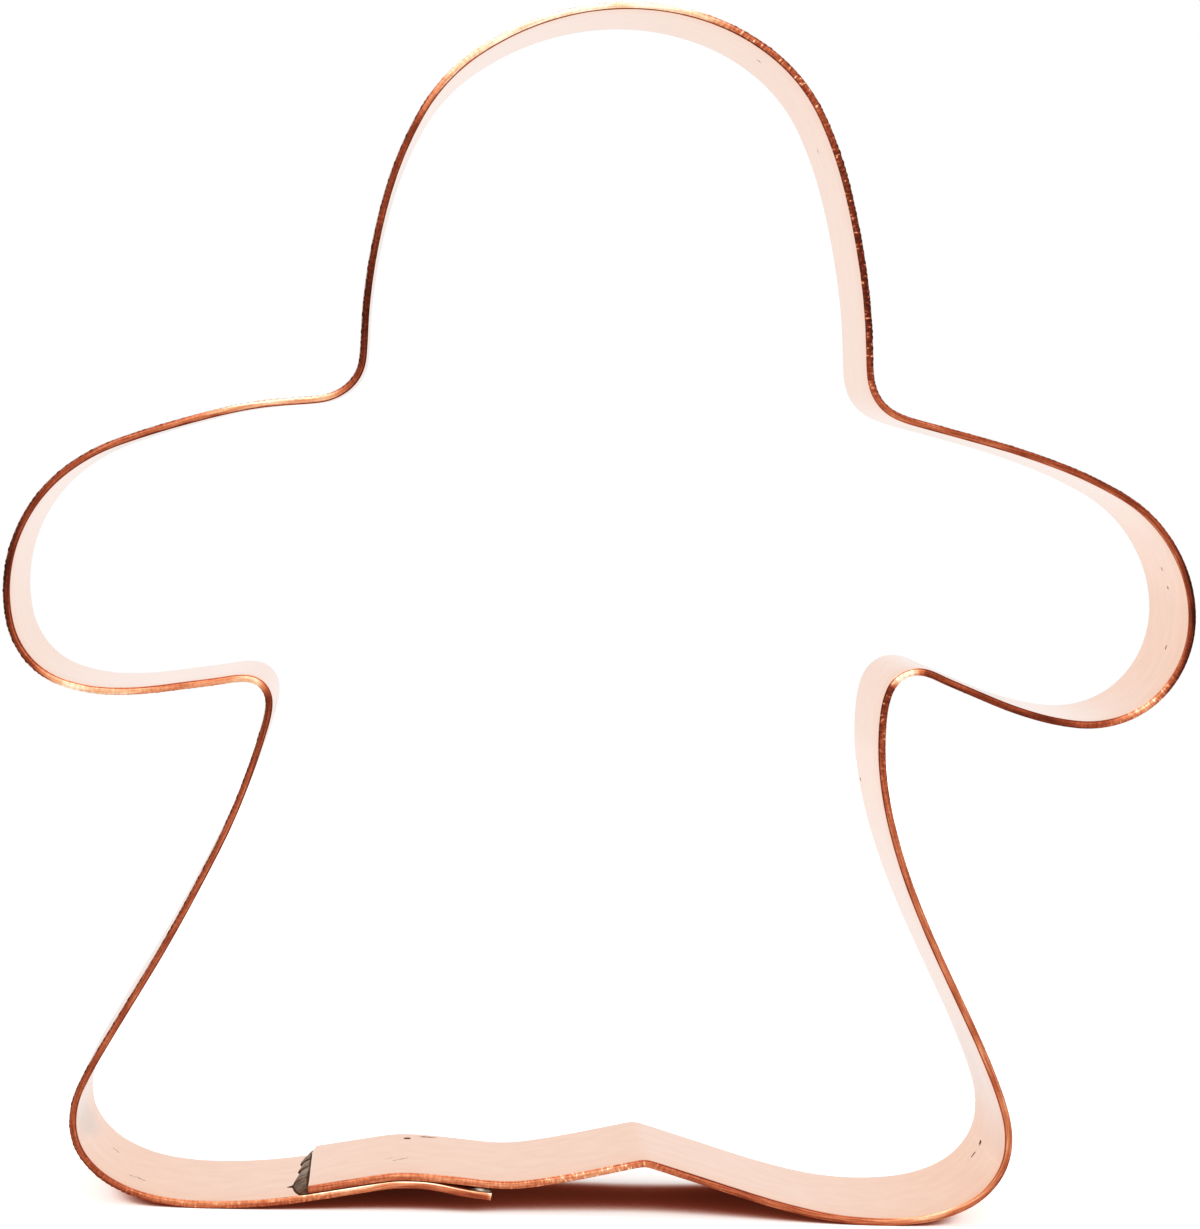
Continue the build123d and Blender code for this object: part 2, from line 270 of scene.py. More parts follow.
# Its looks: colours from the hollows to the crests of its blotches, painted darker in the hollows and
# lighter on the crests, one set for the dull solder and one painted brighter for the tail's lumps in the
# gap's shade, and where flux burnt on it, with painted shade in its folds, at its toe and where it starts
solder_tone_places = (0.36, 0.5, 0.62)
dull_solder_colours = ("#54422F", "#786149", "#A08A6E")
painted_bright_solder_colours = ("#6E6255", "#A09383", "#BDB1A1")
solder_blotches_per_m = 900.0
solder_relief = 0.1 * mm
solder_relief_strength = 0.8
solder_roughness = 0.45
solder_metal_share = 0.8
soot_and_shade_colour = "#4A2A18"
soot_and_shade_roughness = 0.8


def linear_colour(hex_text):
    """An sRGB hex colour as linear red, green, blue and alpha."""
    channels = [int(hex_text[i:i + 2], 16) / 255 for i in (1, 3, 5)]
    return tuple(c / 12.92 if c <= 0.04045 else ((c + 0.055) / 1.055) ** 2.4 for c in channels) + (1.0,)


def add_node(tree, kind, inputs=None, **settings):
    """Adds a shader node with its settings, and gives or links its inputs."""
    node = tree.nodes.new(kind)
    for name, value in settings.items():
        setattr(node, name, value)
    for name, value in (inputs or {}).items():
        if isinstance(value, bpy.types.NodeSocket):
            tree.links.new(value, node.inputs[name])
        else:
            node.inputs[name].default_value = value
    return node


def new_material(name):
    """An empty node material, and its tree."""
    material = bpy.data.materials.new(name)
    material.use_nodes = True
    material.node_tree.nodes.clear()
    return material, material.node_tree


def set_ramp(node, stops):
    """Puts the stops (place, hex colour) on a colour ramp."""
    ramp = node.color_ramp
    while len(ramp.elements) > len(stops):
        ramp.elements.remove(ramp.elements[-1])
    while len(ramp.elements) < len(stops):
        ramp.elements.new(1.0)
    for element, (place, colour) in zip(ramp.elements, stops):
        element.position = place
        element.color = linear_colour(colour)


def deselect_all():
    """Leaves nothing selected, as each operator acts on all that is."""
    if bpy.context.object and bpy.context.object.mode != "OBJECT":
        bpy.ops.object.mode_set(mode="OBJECT")
    bpy.ops.object.select_all(action="DESELECT")


# Stage

def make_camera():
    """The camera at the photograph's place and angle."""
    turn, tilt, roll = (math.radians(a) for a in (camera_turn_deg, camera_tilt_deg, camera_roll_deg))
    ahead = np.array([math.sin(turn) * math.cos(tilt), math.cos(turn) * math.cos(tilt), -math.sin(tilt)])
    level_right = np.array([math.cos(turn), -math.sin(turn), 0.0])
    level_up = np.cross(level_right, ahead)
    right = math.cos(roll) * level_right + math.sin(roll) * level_up
    up = math.cos(roll) * level_up - math.sin(roll) * level_right
    data = bpy.data.cameras.new("camera")
    data.sensor_width = 36.0
    data.lens = data.sensor_width * focal_length_px / photo_height_px
    data.clip_start = 0.01
    data.clip_end = 20.0
    camera = bpy.data.objects.new("camera", data)
    bpy.context.scene.collection.objects.link(camera)
    camera.matrix_world = Matrix([
        (right[0], up[0], -ahead[0], camera_place[0]),
        (right[1], up[1], -ahead[1], camera_place[1]),
        (right[2], up[2], -ahead[2], camera_place[2]),
        (0.0, 0.0, 0.0, 1.0),
    ])
    bpy.context.scene.camera = camera


def make_world():
    """A white studio: seen, mirrored and refracted at strength 1, and a plain light on the object."""
    world = bpy.data.worlds.new("white_studio")
    world.use_nodes = True
    bpy.context.scene.world = world
    tree = world.node_tree
    tree.nodes.clear()
    path = add_node(tree, "ShaderNodeLightPath")
    shown = add_node(tree, "ShaderNodeMath",
                     {0: path.outputs["Is Camera Ray"], 1: path.outputs["Is Glossy Ray"]}, operation="ADD")
    shown = add_node(tree, "ShaderNodeMath", {0: shown.outputs[0], 1: path.outputs["Is Transmission Ray"]},
                     operation="ADD", use_clamp=True)
    strength = add_node(tree, "ShaderNodeMapRange",
                        {"Value": shown.outputs[0], "To Min": world_fill, "To Max": 1.0})
    light = add_node(tree, "ShaderNodeBackground",
                     {"Color": linear_colour("#FFFFFF"), "Strength": strength.outputs[0]})
    add_node(tree, "ShaderNodeOutputWorld", {"Surface": light.outputs[0]})


def make_softbox():
    """A wide, soft area lamp over the cutter, turned to the place where it stands."""
    data = bpy.data.lights.new("overhead_softbox", "AREA")
    data.shape = "SQUARE"
    data.size = softbox_width
    data.energy = softbox_power
    lamp = bpy.data.objects.new("overhead_softbox", data)
    bpy.context.scene.collection.objects.link(lamp)
    lamp.location = softbox_place
    lamp.rotation_mode = "QUATERNION"
    lamp.rotation_quaternion = (Vector() - Vector(softbox_place)).to_track_quat("-Z", "Y")
    lamp.visible_camera = False


def make_floor():
    """The white table: matt, open white up to the cutter, and a painted shadow, deep red-brown as for light
    bounced off the copper, where copper closes over it.
    """
    deselect_all()
    bpy.ops.mesh.primitive_plane_add(size=floor_width, location=(0.0, 0.0, 0.0))
    floor = bpy.context.object
    floor.name = "floor"
    material, tree = new_material("white_paper_matt_painted_shadow")
    path = add_node(tree, "ShaderNodeLightPath")
    shown = add_node(tree, "ShaderNodeMath",
                     {0: path.outputs["Is Glossy Ray"], 1: floor_mirror_share,
                      2: path.outputs["Is Camera Ray"]}, operation="MULTIPLY_ADD")
    shown = add_node(tree, "ShaderNodeMath", {0: shown.outputs[0], 1: path.outputs["Is Transmission Ray"]},
                     operation="ADD", use_clamp=True)
    place = add_node(tree, "ShaderNodeTexCoord")
    place_parts = add_node(tree, "ShaderNodeSeparateXYZ", {"Vector": place.outputs["Object"]})
    # Painted light on the floor in front of the cutter and painted shade behind it, added to how open it is
    lit_front = add_node(tree, "ShaderNodeMapRange",
                         {"Value": place_parts.outputs["Y"], "From Min": near_rim, "From Max": far_rim / 2,
                          "To Min": floor_front_light, "To Max": floor_back_light})
    open_sky = add_node(tree, "ShaderNodeAmbientOcclusion", {"Distance": floor_shade_reach},
                        samples=floor_shade_samples)
    open_sky = add_node(tree, "ShaderNodeMath", {0: open_sky.outputs["AO"], 1: lit_front.outputs[0]},
                        operation="ADD")
    # The painted shadow: how open the floor is near the cutter picks its colour, from deep red-brown to
    # white
    shade = add_node(tree, "ShaderNodeValToRGB", {"Fac": open_sky.outputs[0]})
    set_ramp(shade, floor_painted_shadow_colours)
    away = add_node(tree, "ShaderNodeVectorMath", {0: place.outputs["Object"]}, operation="LENGTH")
    near, far = floor_glow_distances
    near_glow, far_glow = floor_glow_strengths
    level = add_node(tree, "ShaderNodeMapRange",
                     {"Value": away.outputs["Value"], "From Min": near, "From Max": far,
                      "To Min": near_glow, "To Max": far_glow})
    level = add_node(tree, "ShaderNodeMath", {0: level.outputs[0], 1: shown.outputs[0]},
                     operation="MULTIPLY")
    paper = add_node(tree, "ShaderNodeBsdfDiffuse", {"Color": shade.outputs[0]})
    glow = add_node(tree, "ShaderNodeEmission", {"Color": shade.outputs[0], "Strength": level.outputs[0]})
    surface = add_node(tree, "ShaderNodeAddShader", {0: paper.outputs[0], 1: glow.outputs[0]})
    add_node(tree, "ShaderNodeOutputMaterial", {"Surface": surface.outputs[0]})
    floor.data.materials.append(material)


# Strip

def smooth(values, width):
    """The values smoothed over a width in samples, with both ends kept."""
    reach = int(math.ceil(3 * width))
    weights = np.exp(-0.5 * (np.arange(-reach, reach + 1) / width) ** 2)
    weights /= weights.sum()
    before = 2 * values[0] - values[reach:0:-1]
    after = 2 * values[-1] - values[-2:-reach - 2:-1]
    padded = np.concatenate([before, values, after])
    return np.stack([np.convolve(padded[:, k], weights, "valid") for k in range(values.shape[1])], 1)


def rim_corners(node):
    """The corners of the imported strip's near rim, in order round it, as x and z."""
    shape = bmesh.new()
    shape.from_mesh(node.data)
    bmesh.ops.remove_doubles(shape, verts=shape.verts, dist=0.001 * mm)
    on_rim = {v for v in shape.verts if abs(v.co.y - near_rim) < 0.001 * mm}
    rim_faces = {f for f in shape.faces if all(v in on_rim for v in f.verts)}
    beside = {}
    for edge in shape.edges:
        if sum(f in rim_faces for f in edge.link_faces) == 1:
            a, b = edge.verts
            beside.setdefault(a, []).append(b)
            beside.setdefault(b, []).append(a)
    start = next(iter(beside))
    loop = [start]
    previous, current = None, start
    while True:
        onward = [v for v in beside[current] if v is not previous][0]
        if onward is start:
            break
        loop.append(onward)
        previous, current = current, onward
    corners = np.array([(v.co.x, v.co.z) for v in loop])
    shape.free()
    return corners


def strip_line():
    """The middle of the sheet along the near rim, from the outer end clockwise to the inner one, with its
    distance along it and its outward normal, evenly spaced."""
    corners = rim_corners(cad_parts["cutter_band"])
    count = len(corners)
    onward = np.roll(corners, -1, axis=0) - corners
    length = np.linalg.norm(onward, axis=1)
    heading = onward / length[:, None]
    turn = np.abs(np.degrees(np.arccos(np.clip((heading * np.roll(heading, 1, axis=0)).sum(1), -1, 1))))

    # Each end is as long as the sheet is thick, with a sharp corner on both sides
    ends = [i for i in range(count)
            if abs(length[i] - sheet_thickness) < 0.05 * mm and turn[i] > 60 and turn[(i + 1) % count] > 60]
    first, second = ends
    sides = [np.roll(corners, -(first + 1), axis=0)[:second - first],
             np.roll(corners, -(second + 1), axis=0)[:count - (second - first)]]

    # The longer of the two sides between them is the outer one, and its outer end lies further right
    outer = max(sides, key=lambda side: np.linalg.norm(np.diff(side, axis=0), axis=1).sum())
    if outer[0, 0] < outer[-1, 0]:
        outer = outer[::-1]

    # Even steps, smoothed, and then moved in from the outer side to the middle of the sheet
    along = np.concatenate([[0.0], np.cumsum(np.linalg.norm(np.diff(outer, axis=0), axis=1))])
    steps = np.linspace(0.0, along[-1], int(along[-1] / line_step) + 1)
    line = np.stack([np.interp(steps, along, outer[:, k]) for k in (0, 1)], 1)
    line = smooth(line, line_smoothing / line_step)
    tangent = np.gradient(line, axis=0)
    tangent /= np.linalg.norm(tangent, axis=1)[:, None]
    tangent = smooth(tangent, line_smoothing / line_step)
    tangent /= np.linalg.norm(tangent, axis=1)[:, None]
    normal = np.stack([-tangent[:, 1], tangent[:, 0]], 1)
    middle = line - half_sheet * normal
    distance = np.concatenate([[0.0], np.cumsum(np.linalg.norm(np.diff(middle, axis=0), axis=1))])
    return distance, middle, normal


def place_on_strip(line, along, across):
    """The x and z of points at a distance along the strip's middle and across it, outward."""
    distance, middle, normal = line
    beyond = np.clip(along, 0.0, distance[-1])
    at = np.stack([np.interp(beyond, distance, middle[:, k]) for k in (0, 1)], 1)
    out = np.stack([np.interp(beyond, distance, normal[:, k]) for k in (0, 1)], 1)
    forward = np.stack([out[:, 1], -out[:, 0]], 1)
    return at + out * across[:, None] + forward * (along - beyond)[:, None]


def sheet_section():
    """The section of the strip as points across and in depth, round from the inner face over the near rim,
    the outer face and the far rim. The last point is the first again."""
    points = []
    for share in face_row_shares:
        points.append((-half_sheet, far_rim * share))
    for degrees in (0, 30, 60, 90):
        angle = math.radians(degrees)
        points.append((-half_sheet + roll_width * (1 - math.cos(angle)),
                       near_rim + roll_depth * (1 - math.sin(angle))))
    rim_start = -half_sheet + roll_width
    rim_end = half_sheet - burr_edge
    for share in (0.7, 1.0):
        points.append((rim_start + share * (rim_end - rim_start), near_rim))
    for degrees in (50, 90):
        angle = math.radians(degrees)
        points.append((half_sheet - burr_edge * (1 - math.sin(angle)),
                       near_rim + burr_edge * (1 - math.cos(angle))))
    points.append((half_sheet, near_rim + burr_depth))
    for share in outer_row_shares:
        points.append((half_sheet, far_rim * share))
    for degrees in (0, 45, 90):
        angle = math.radians(degrees)
        points.append((half_sheet - far_edge * (1 - math.cos(angle)),
                       far_rim - far_edge * (1 - math.sin(angle))))
    for degrees in (90, 45, 0):
        angle = math.radians(degrees)
        points.append((-half_sheet + far_edge * (1 - math.cos(angle)),
                       far_rim - far_edge * (1 - math.sin(angle))))
    points.append(points[0])
    return np.array(points)


def give_attribute(piece, name, values):
    """Stores one number for each of the piece's points."""
    attribute = piece.data.attributes.new(name, "FLOAT", "POINT")
    attribute.data.foreach_set("value", values.astype(np.float32))


def close_up(piece):
    """Joins a rolled grid's first and last rows, closes its ends and shades it smooth."""
    deselect_all()
    piece.select_set(True)
    bpy.context.view_layer.objects.active = piece
    bpy.ops.object.mode_set(mode="EDIT")
    bpy.ops.mesh.select_all(action="SELECT")
    bpy.ops.mesh.remove_doubles(threshold=0.002 * mm)
    bpy.ops.mesh.select_all(action="DESELECT")
    bpy.ops.mesh.select_non_manifold()
    bpy.ops.mesh.fill()
    bpy.ops.mesh.select_all(action="SELECT")
    bpy.ops.mesh.normals_make_consistent(inside=False)
    bpy.ops.object.mode_set(mode="OBJECT")
    bpy.ops.object.shade_smooth_by_angle(angle=math.radians(50))


def burr_teeth(along):
    """How far the torn edge stands out along the strip, from 0 in a nick to 1 on a tooth."""
    draw = np.random.default_rng(burr_seed)
    count = int(along.max() / burr_pitch) + 3
    nicks = (np.arange(count) - 0.5 + draw.uniform(-0.28, 0.28, count)) * burr_pitch
    crests = draw.uniform(0.45, 1.0, count)
    tooth = np.searchsorted(nicks, along, side="right") - 1
    share = (along - nicks[tooth]) / (nicks[tooth + 1] - nicks[tooth])
    return crests[tooth] * np.sqrt(np.sin(math.pi * share))


def make_strip(line):
    """The bent strip, and the distance round its section: a flat grid whose rows become the section's points
    and whose columns are laid along the line."""
    section = sheet_section()
    row_count = len(section) - 1
    deselect_all()
    bpy.ops.mesh.primitive_grid_add(x_subdivisions=station_count, y_subdivisions=row_count, size=1.0)
    strip = bpy.context.object
    strip.name = "copper_strip"
    strip.data.uv_layers[0].name = "strip"
    flat = np.zeros(len(strip.data.vertices) * 3)
    strip.data.vertices.foreach_get("co", flat)
    flat = flat.reshape(-1, 3)
    share = flat[:, 0] + 0.5
    row = np.rint((flat[:, 1] + 0.5) * row_count).astype(int)
    length = line[0][-1]
    along = share * length
    across = section[row, 0].copy()
    depth = section[row, 1].copy()

    # The map lies flat on the sheet, as far round it as the section's points are
    around = np.concatenate([[0.0], np.cumsum(np.linalg.norm(np.diff(section, axis=0), axis=1))])
    corners = np.zeros(len(strip.data.loops) * 2)
    strip.data.uv_layers[0].uv.foreach_get("vector", corners)
    corners = corners.reshape(-1, 2)
    corners[:, 1] = np.interp(corners[:, 1] * row_count, np.arange(row_count + 1), around / around[-1])
    strip.data.uv_layers[0].uv.foreach_set("vector", corners.ravel())

    # The burr tears the near rim's outer edge into teeth
    burr = np.interp(share, *zip(*burr_shares))
    tooth = burr_teeth(along)
    at_edge = np.clip((across - (half_sheet - burr_band)) / burr_band, 0, 1)
    at_edge *= depth < near_rim + 0.5 * burr_depth
    across += burr_reach * burr * at_edge * (tooth - 0.95)
    depth = np.where(depth < 0, depth + 0.4 * burr_reach * burr * at_edge * (1 - tooth), depth)

    # The inner end's far corner is snipped off, and its inner edge is rounded
    clip = clip_length * np.clip((depth - (far_rim - clip_height)) / clip_height, 0, 1)
    along = along - clip * np.clip(1 - (length - along) / clip_fade, 0, 1)
    from_end = np.clip((length - along) / (2 * end_roll), 0, 1)
    rolled = across + end_roll * (1 - np.sqrt(1 - (1 - from_end) ** 2))
    across = np.where(across < -0.9 * half_sheet, rolled, across)

    place = place_on_strip(line, along, across)
    strip.data.vertices.foreach_set("co", np.stack([place[:, 0], depth, place[:, 1]], 1).ravel())

    # What the material has to know about each point: the rim's tone, worn and with painted highlights and
    # painted dark reflections. The burr's tips are dark with oxide and painted shade where the rim isn't at
    # its brightest
    tone = np.interp(share, *zip(*rim_tone_shares))
    # Painted lighter or darker across the rim, as light falls on its tilted edge
    tone += np.interp(share, *zip(*rim_lean_shares)) * across / half_sheet
    give_attribute(strip, "rim_tone", tone)
    from_rim = np.minimum(depth - near_rim, far_rim_tightness * (far_rim - depth))
    give_attribute(strip, "rim_depth_mm", from_rim / mm)
    give_attribute(strip, "rim_across", across / half_sheet)
    below_brightest = np.clip((0.95 - tone) / 0.3, 0, 1)
    give_attribute(strip, "burr_tip", burr * at_edge * (0.3 + 0.7 * tooth) * below_brightest)
    give_attribute(strip, "inner_line", np.interp(share, *zip(*inner_line_shares)))
    give_attribute(strip, "shear_marks", np.interp(share, *zip(*shear_mark_shares)))
    stain_shares = np.where(across < 0, np.interp(share, *zip(*tail_stain_shares)),
                            np.interp(share, *zip(*lap_stain_shares)))
    give_attribute(strip, "flux_stain", stain_shares)
    strip.data.update()

    close_up(strip)
    return strip, around[-1]


def sheet_pattern(tree, place_mm, per_mm, detail):
    """A noise laid on the flat sheet, with so many waves per mm along it and across it."""
    stretched = add_node(tree, "ShaderNodeVectorMath", {0: place_mm, 1: (*per_mm, 1.0)},
                         operation="MULTIPLY")
    pattern = add_node(tree, "ShaderNodeTexNoise",
                       {"Vector": stretched.outputs[0], "Scale": 1.0, "Detail": detail},
                       noise_dimensions="2D")
    return pattern.outputs[0]


def rim_colour(tree, place_mm):
    """The rim's colour: brown with oxide and painted dark reflections, and cream where it was rubbed bright
    and is painted with highlights, with the shear's marks and their painted glints across it, rub streaks
    along it and a painted shade line, or painted highlight, beside its rolled inner edge."""
    tone = add_node(tree, "ShaderNodeAttribute", attribute_name="rim_tone")
    across = add_node(tree, "ShaderNodeAttribute", attribute_name="rim_across")
    tip = add_node(tree, "ShaderNodeAttribute", attribute_name="burr_tip")
    marks = add_node(tree, "ShaderNodeAttribute", attribute_name="shear_marks")
    line_depth = add_node(tree, "ShaderNodeAttribute", attribute_name="inner_line")

    # The shear's marks, and painted glints on their crests where they are strong
    shear = sheet_pattern(tree, place_mm, shear_marks_per_mm, 2.0)
    glints = add_node(tree, "ShaderNodeMapRange",
                      {"Value": shear, "From Min": glint_noise[0], "From Max": glint_noise[1],
                       "To Max": glint_change})
    sharp = add_node(tree, "ShaderNodeMapRange",
                     {"Value": marks.outputs["Fac"], "From Min": glint_marks[0], "From Max": glint_marks[1]})
    glints = add_node(tree, "ShaderNodeMath", {0: glints.outputs[0], 1: sharp.outputs[0]},
                      operation="MULTIPLY")
    crosswise = add_node(tree, "ShaderNodeMapRange",
                         {"Value": shear, "From Min": noise_low, "From Max": noise_high,
                          "To Min": -shear_mark_change, "To Max": shear_mark_change}, clamp=False)
    crosswise = add_node(tree, "ShaderNodeMath", {0: crosswise.outputs[0], 1: glints.outputs[0]},
                         operation="ADD")
    crosswise = add_node(tree, "ShaderNodeMath", {0: crosswise.outputs[0], 1: marks.outputs["Fac"]},
                         operation="MULTIPLY")

    # The rub streaks, which are weaker where the shear's marks are strong
    streaks = add_node(tree, "ShaderNodeMapRange",
                       {"Value": marks.outputs["Fac"], "To Min": rub_streak_change,
                        "To Max": rub_streak_change_on_marks})
    lengthwise = add_node(tree, "ShaderNodeMapRange",
                          {"Value": sheet_pattern(tree, place_mm, rub_streaks_per_mm, 2.0),
                           "From Min": noise_low, "From Max": noise_high,
                           "To Min": -1.0, "To Max": 1.0}, clamp=False)
    lengthwise = add_node(tree, "ShaderNodeMath", {0: lengthwise.outputs[0], 1: streaks.outputs[0]},
                          operation="MULTIPLY")
    worn = add_node(tree, "ShaderNodeMath", {0: tone.outputs["Fac"], 1: crosswise.outputs[0]},
                    operation="ADD")
    worn = add_node(tree, "ShaderNodeMath", {0: worn.outputs[0], 1: lengthwise.outputs[0]}, operation="ADD")

    # The painted shade line beside the inner edge, or painted highlight, and the burr's tips, dark with
    # oxide and painted shade
    from_line = add_node(tree, "ShaderNodeMath", {0: across.outputs["Fac"], 1: -inner_line_place},
                         operation="ADD")
    from_line = add_node(tree, "ShaderNodeMath", {0: from_line.outputs[0]}, operation="ABSOLUTE")
    on_line = add_node(tree, "ShaderNodeMapRange",
                       {"Value": from_line.outputs[0], "From Min": inner_line_reach[0],
                        "From Max": inner_line_reach[1], "To Min": -inner_line_change, "To Max": 0.0},
                       interpolation_type="SMOOTHSTEP")
    on_line = add_node(tree, "ShaderNodeMath",
                       {0: on_line.outputs[0], 1: line_depth.outputs["Fac"], 2: 1.0},
                       operation="MULTIPLY_ADD")
    worn = add_node(tree, "ShaderNodeMath", {0: worn.outputs[0], 1: on_line.outputs[0]},
                    operation="MULTIPLY")
    tip_shade = add_node(tree, "ShaderNodeMapRange",
                         {"Value": tip.outputs["Fac"], "From Min": 0.1, "From Max": 0.6,
                          "To Min": 1.0, "To Max": burr_tip_shade})
    worn = add_node(tree, "ShaderNodeMath", {0: worn.outputs[0], 1: tip_shade.outputs[0]},
                    operation="MULTIPLY", use_clamp=True)
    colour = add_node(tree, "ShaderNodeValToRGB", {"Fac": worn.outputs[0]})
    set_ramp(colour, rim_colours)
    return colour.outputs[0]


def spot_mask(tree, place_mm, spots):
    """Where the spots are on the inner face: 0 beside them, and up to their own strength inside."""
    inner_top = face_row_shares[0] * far_rim / mm
    mask = None
    for along, depth_place, long, wide, turn, strength in spots:
        middle = (along, inner_top - depth_place, 0.0)
        spot = add_node(tree, "ShaderNodeVectorMath", {0: place_mm, 1: middle}, operation="SUBTRACT")
        spot = add_node(tree, "ShaderNodeVectorRotate",
                        {"Vector": spot.outputs[0], "Angle": math.radians(turn)}, rotation_type="Z_AXIS")
        spot = add_node(tree, "ShaderNodeVectorMath", {0: spot.outputs[0], 1: (1 / long, 1 / wide, 0.0)},
                        operation="MULTIPLY")
        spot = add_node(tree, "ShaderNodeVectorMath", {0: spot.outputs[0]}, operation="LENGTH")
        spot = add_node(tree, "ShaderNodeMapRange",
                        {"Value": spot.outputs["Value"], "From Min": spot_fade_shares[0],
                         "From Max": spot_fade_shares[1], "To Min": strength, "To Max": 0.0},
                        interpolation_type="SMOOTHSTEP")
        if mask is None:
            mask = spot
        else:
            mask = add_node(tree, "ShaderNodeMath", {0: mask.outputs[0], 1: spot.outputs[0]},
                            operation="MAXIMUM")
    return mask.outputs[0]


def face_colour(tree, place_mm):
    """The faces' colour and where the marks are: clean pink copper, faintly mottled, with a few grey painted
    reflections of the floor's shade and small dark marks with ragged edges, one a thin painted shade line."""
    clean = add_node(tree, "ShaderNodeValToRGB", {"Fac": sheet_pattern(tree, place_mm, mottle_per_mm, 5.0)})
    set_ramp(clean, face_colours)
    ragged = add_node(tree, "ShaderNodeTexNoise",
                      {"Vector": place_mm, "Scale": ragged_edges_per_mm, "Detail": 2.0},
                      noise_dimensions="2D")
    ragged = add_node(tree, "ShaderNodeVectorMath", {0: ragged.outputs["Color"], 1: [noise_middle] * 3},
                      operation="SUBTRACT")
    ragged = add_node(tree, "ShaderNodeVectorMath",
                      {0: ragged.outputs[0], 1: [ragged_edges_mm] * 3, 2: place_mm},
                      operation="MULTIPLY_ADD")
    painted_reflection_mask = spot_mask(tree, ragged.outputs[0], face_painted_reflections)
    marks_and_shade_line_mask = spot_mask(tree, ragged.outputs[0], face_marks_and_shade_line)
    colour = add_node(tree, "ShaderNodeMix",
                      {"Factor": painted_reflection_mask, 6: clean.outputs[0], 7: linear_colour(painted_reflection_colour)},
                      data_type="RGBA")
    colour = add_node(tree, "ShaderNodeMix",
                      {"Factor": marks_and_shade_line_mask, 6: colour.outputs[2], 7: linear_colour(mark_and_shade_colour)},
                      data_type="RGBA")
    return colour.outputs[2], marks_and_shade_line_mask


def copper_material(strip_length, strip_girth):
    """Rolled sheet copper, cut with a shear and bent: clean pink faces with a satin shine and painted
    reflections of the floor's shade, matt where the marks and a painted shade line are or where flux burnt
    on them, and duller, worn rims with painted highlights and painted dark reflections."""
    material, tree = new_material("copper_sheet_rolled_and_sheared")
    place = add_node(tree, "ShaderNodeUVMap", uv_map="strip")
    to_mm = add_node(tree, "ShaderNodeVectorMath",
                     {0: place.outputs[0], 1: (strip_length / mm, strip_girth / mm, 1.0)},
                     operation="MULTIPLY")
    place_mm = to_mm.outputs[0]
    depth = add_node(tree, "ShaderNodeAttribute", attribute_name="rim_depth_mm")
    on_rim = add_node(tree, "ShaderNodeMapRange",
                      {"Value": depth.outputs["Fac"], "From Min": rim_fade_mm[0],
                       "From Max": rim_fade_mm[1], "To Min": 1.0, "To Max": 0.0},
                      interpolation_type="SMOOTHSTEP")
    face, marks_and_shade_line_mask = face_colour(tree, place_mm)
    stain = add_node(tree, "ShaderNodeAttribute", attribute_name="flux_stain")
    stained = add_node(tree, "ShaderNodeMix",
                       {"Factor": stain.outputs["Fac"], 6: face, 7: linear_colour(flux_colour)},
                       data_type="RGBA")
    base = add_node(tree, "ShaderNodeMix",
                    {"Factor": on_rim.outputs[0], 6: stained.outputs[2], 7: rim_colour(tree, place_mm)},
                    data_type="RGBA")
    bump = add_node(tree, "ShaderNodeBump",
                    {"Height": sheet_pattern(tree, place_mm, roll_lines_per_mm, 3.0),
                     "Strength": roll_line_strength, "Distance": roll_line_relief})
    satin = add_node(tree, "ShaderNodeMapRange",
                     {"Value": on_rim.outputs[0], "To Min": face_roughness, "To Max": rim_roughness})

    # It is bare metal but for the marks, the painted shade line and the burnt flux, which end at the rim
    covered = add_node(tree, "ShaderNodeMath", {0: stain.outputs["Fac"], 1: marks_and_shade_line_mask}, operation="MAXIMUM")
    bare = add_node(tree, "ShaderNodeMapRange", {"Value": covered.outputs[0], "To Min": 1.0, "To Max": 0.0})
    bare = add_node(tree, "ShaderNodeMath", {0: bare.outputs[0], 1: on_rim.outputs[0]}, operation="MAXIMUM")
    surface = add_node(tree, "ShaderNodeBsdfPrincipled",
                       {"Base Color": base.outputs[2], "Metallic": bare.outputs[0],
                        "Roughness": satin.outputs[0], "Specular IOR Level": 0.0,
                        "Normal": bump.outputs[0]})
    add_node(tree, "ShaderNodeOutputMaterial", {"Surface": surface.outputs[0]})
    return material


# Solder

